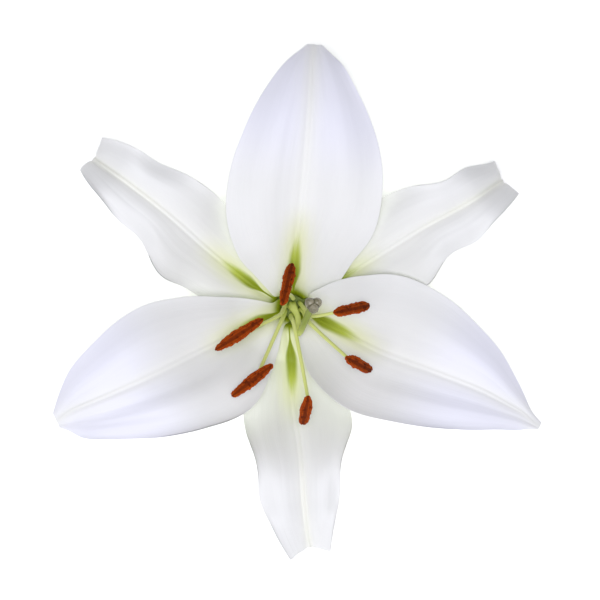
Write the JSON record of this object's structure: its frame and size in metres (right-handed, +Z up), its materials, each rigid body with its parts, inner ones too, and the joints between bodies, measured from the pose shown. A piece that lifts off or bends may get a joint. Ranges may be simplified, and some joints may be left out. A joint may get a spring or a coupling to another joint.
{
  "type": "oriental lily bloom",
  "caption": "Open white oriental lily bloom, face up, with broad inner tepals, recurved outer tepals, rust-brown anthers on thin filaments, a style with lobed stigma and a cut stalk.",
  "frame": {"origin": "on the surface that the bloom rests on, under the middle of its bounding box", "axes": "+Z up, out of the bloom's face; +Y towards the top inner tepal of the picture; +X to the picture's right"},
  "size_m": [0.197, 0.2082, 0.0742],
  "materials": {
    "tepal": "satin",
    "filament": "satin",
    "anther": "matte",
    "style": "satin",
    "stigma": "satin",
    "receptacle": "satin"
  },
  "bodies": {
    "root": {"inner_tepal_top": "tepal", "inner_tepal_lower_left": "tepal", "inner_tepal_lower_right": "tepal", "outer_tepal_upper_left": "tepal", "outer_tepal_upper_right": "tepal", "outer_tepal_bottom": "tepal", "filament_top": "filament", "filament_left_upper": "filament", "filament_left_lower": "filament", "filament_bottom": "filament", "filament_right_lower": "filament", "filament_right_upper": "filament", "anther_top": "anther", "anther_left_upper": "anther", "anther_left_lower": "anther", "anther_bottom": "anther", "anther_right_lower": "anther", "anther_right_upper": "anther", "pistil": "style", "stigma": "stigma", "receptacle": "receptacle"}
  },
  "joints": []
}
